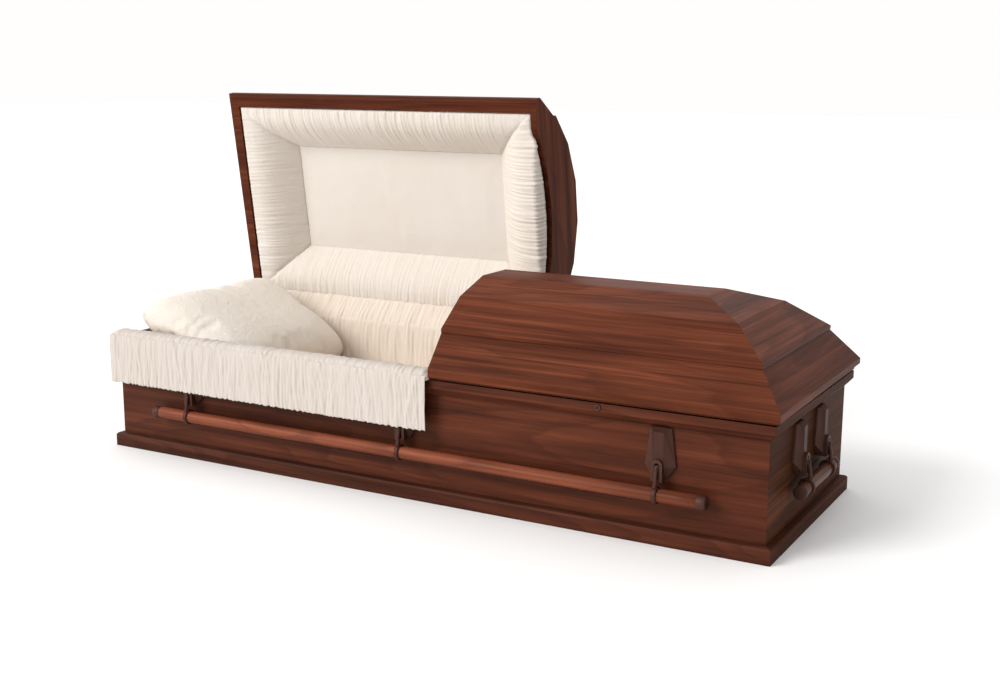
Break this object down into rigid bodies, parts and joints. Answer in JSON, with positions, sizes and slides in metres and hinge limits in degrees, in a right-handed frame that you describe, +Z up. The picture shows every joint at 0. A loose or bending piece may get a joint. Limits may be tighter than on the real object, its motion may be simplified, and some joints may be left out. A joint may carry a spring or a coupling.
{
  "type": "funeral casket",
  "caption": "Wooden half-couch funeral casket with a hinged two-part hipped lid, padded cream interior, pillow, overlay cloth and swing bar handles",
  "frame": {"origin": "on the underside of the bottom board, in the middle of the box's length and width", "axes": "X along the length with the foot end at +X, Y across with the hinged side at +Y, Z up"},
  "size_m": [2.168, 0.9285, 1.0717],
  "materials": {
    "wood": "satin",
    "wood_dark": "satin",
    "wood_plain": "unfinished",
    "wood_bar": "satin",
    "bronze": "dark bronze patina",
    "hinge_metal": "dark antique",
    "crepe": "gathered crepe"
  },
  "bodies": {
    "casket_box": {"base_moulding_front": "wood_dark", "base_moulding_back": "wood_dark", "base_moulding_head": "wood_dark", "base_moulding_foot": "wood_dark", "wall_front": "wood", "wall_back": "wood", "wall_head": "wood", "wall_foot": "wood", "rim_moulding_front": "wood", "rim_moulding_back": "wood", "rim_moulding_head": "wood", "rim_moulding_foot": "wood", "bottom_board": "wood_plain", "key_escutcheon": "bronze", "box_lining": "crepe", "mattress": "crepe", "pillow": "crepe", "overlay_fall": "crepe", "overlay_roll": "crepe", "head_lid_hinge_box_leaf": "hinge_metal", "foot_lid_hinge_box_leaf": "hinge_metal", "front_handle_ear_1": "bronze", "front_handle_ear_2": "bronze", "front_handle_ear_3": "bronze", "back_handle_ear_1": "bronze", "back_handle_ear_2": "bronze", "back_handle_ear_3": "bronze", "head_handle_ear_1": "bronze", "head_handle_ear_2": "bronze", "foot_handle_ear_1": "bronze", "foot_handle_ear_2": "bronze"},
    "head_lid": {"head_lid_rail": "wood", "head_lid_skirt": "wood", "head_lid_crown": "wood", "head_lid_header": "wood", "head_lid_border": "crepe", "head_lid_panel": "crepe", "head_lid_hinge_lid_leaf": "hinge_metal"},
    "foot_lid": {"foot_lid_rail": "wood", "foot_lid_skirt": "wood", "foot_lid_crown": "wood", "foot_lid_header": "wood", "foot_lid_border": "crepe", "foot_lid_panel": "crepe", "foot_lid_hinge_lid_leaf": "hinge_metal"},
    "front_handle": {"front_handle_arm_1": "bronze", "front_handle_arm_2": "bronze", "front_handle_arm_3": "bronze", "front_handle_bar": "wood_bar"},
    "back_handle": {"back_handle_arm_1": "bronze", "back_handle_arm_2": "bronze", "back_handle_arm_3": "bronze", "back_handle_bar": "wood_bar"},
    "head_handle": {"head_handle_arm_1": "bronze", "head_handle_arm_2": "bronze", "head_handle_bar": "wood_bar"},
    "foot_handle": {"foot_handle_arm_1": "bronze", "foot_handle_arm_2": "bronze", "foot_handle_bar": "wood_bar"}
  },
  "joints": [
    {"name": "head_lid_hinge", "type": "hinge", "parent": "casket_box", "child": "head_lid", "pos_m": [0, 0.3596, 0.3565], "axis": [1, 0, 0], "range_deg": [0, 81.85], "deforming": ["pillow", "overlay_roll"]},
    {"name": "foot_lid_hinge", "type": "hinge", "parent": "casket_box", "child": "foot_lid", "pos_m": [0, 0.3596, 0.3565], "axis": [-1, 0, 0], "range_deg": [0, 81.85]},
    {"name": "front_handle_swing", "type": "hinge", "parent": "casket_box", "child": "front_handle", "pos_m": [0, -0.354, 0.2015], "axis": [-1, 0, 0], "range_deg": [0, 75]},
    {"name": "back_handle_swing", "type": "hinge", "parent": "casket_box", "child": "back_handle", "pos_m": [0, 0.354, 0.2015], "axis": [1, 0, 0], "range_deg": [0, 75]},
    {"name": "foot_handle_swing", "type": "hinge", "parent": "casket_box", "child": "foot_handle", "pos_m": [1.0565, -0.016, 0.2015], "axis": [0, -1, 0], "range_deg": [0, 75]},
    {"name": "head_handle_swing", "type": "hinge", "parent": "casket_box", "child": "head_handle", "pos_m": [-1.0565, -0.016, 0.2015], "axis": [0, 1, 0], "range_deg": [0, 75]}
  ]
}
